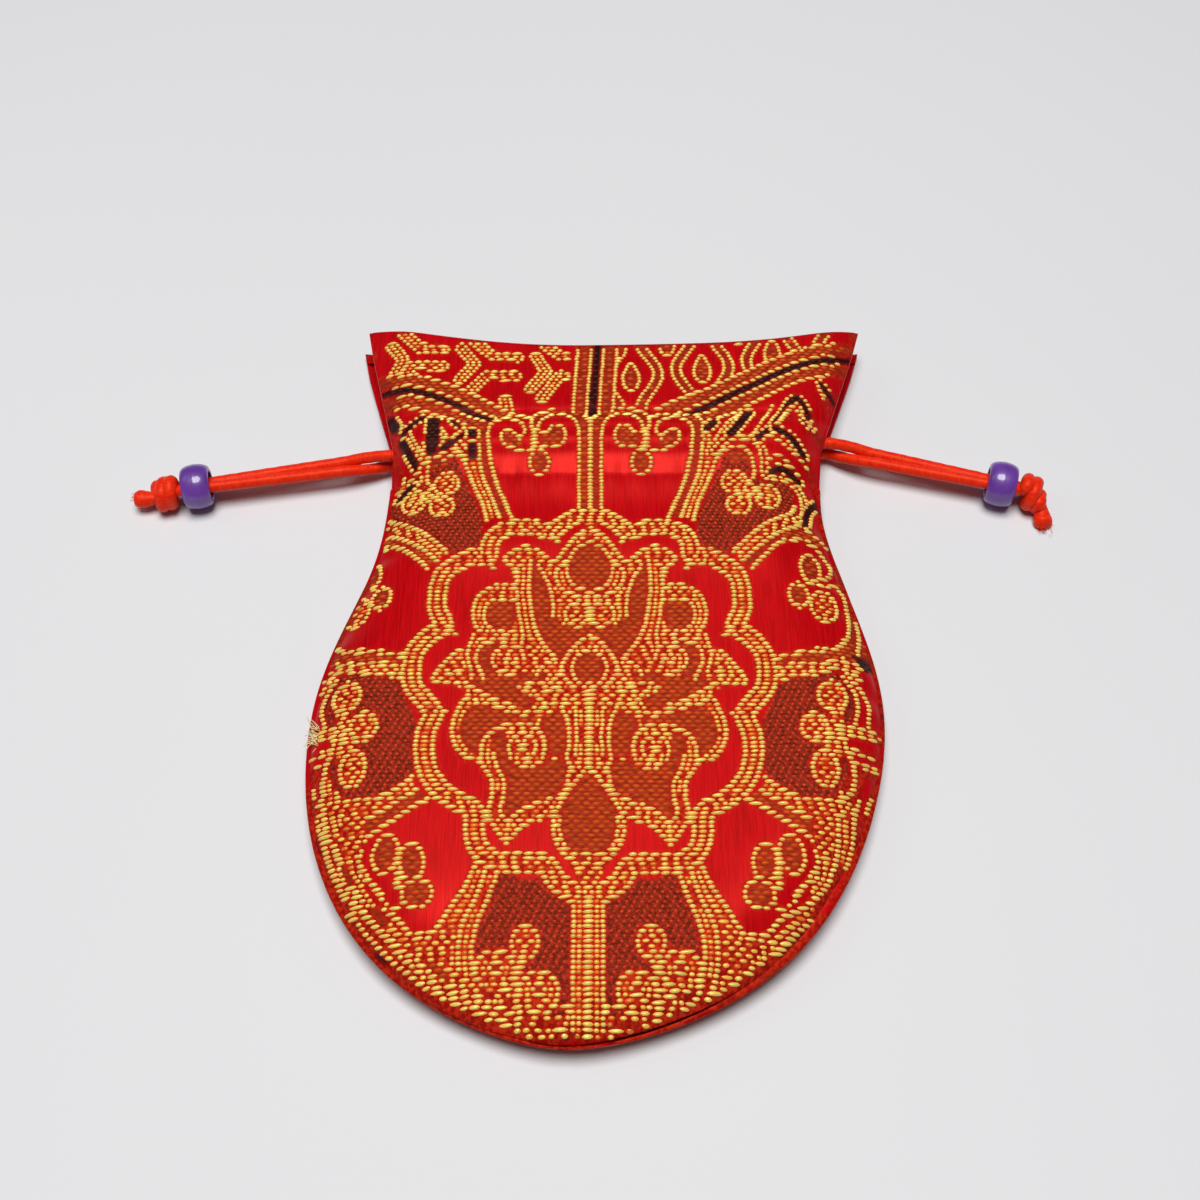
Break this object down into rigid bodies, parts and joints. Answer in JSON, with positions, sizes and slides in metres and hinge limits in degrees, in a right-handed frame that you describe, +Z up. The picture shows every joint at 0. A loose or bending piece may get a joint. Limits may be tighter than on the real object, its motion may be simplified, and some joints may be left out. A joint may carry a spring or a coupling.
{
  "type": "drawstring pouch",
  "caption": "Small lined cloth pouch with a round bottom, drawcords round the neck, and a bead and knot where each pair of tails ends.",
  "frame": {"origin": "middle of the outline of the cloth body, on the surface that the pouch lies on", "axes": "+Y towards the mouth, along the pouch's length; +Z up, out of the front panel; +X to the right, seen from the front with the mouth up"},
  "size_m": [0.1873, 0.149, 0.0125],
  "materials": {
    "brocade": "red satin brocade with gold, brown and black weft figures",
    "lining_satin": "plain red satin with a soft sheen",
    "cord_satin": "orange-red satin cord with a fine cross weave",
    "bead_plastic": "glossy purple moulded plastic"
  },
  "bodies": {
    "pouch": {"front_panel": "brocade", "back_panel": "brocade", "front_lining": "lining_satin", "back_lining": "lining_satin", "left_cord_loop": "cord_satin", "left_cord_tail_front": "cord_satin", "left_cord_tail_back": "cord_satin", "left_knot": "cord_satin", "right_cord_loop": "cord_satin", "right_cord_tail_front": "cord_satin", "right_cord_tail_back": "cord_satin", "right_knot": "cord_satin"},
    "left_bead": {"left_bead": "bead_plastic"},
    "right_bead": {"right_bead": "bead_plastic"}
  },
  "joints": [
    {"name": "left_bead_slide", "type": "slide", "parent": "pouch", "child": "left_bead", "axis": [0.9852, 0.1715, 0], "range_m": [0, 0.03]},
    {"name": "right_bead_slide", "type": "slide", "parent": "pouch", "child": "right_bead", "axis": [-0.9666, 0.2563, 0], "range_m": [0, 0.026]}
  ]
}
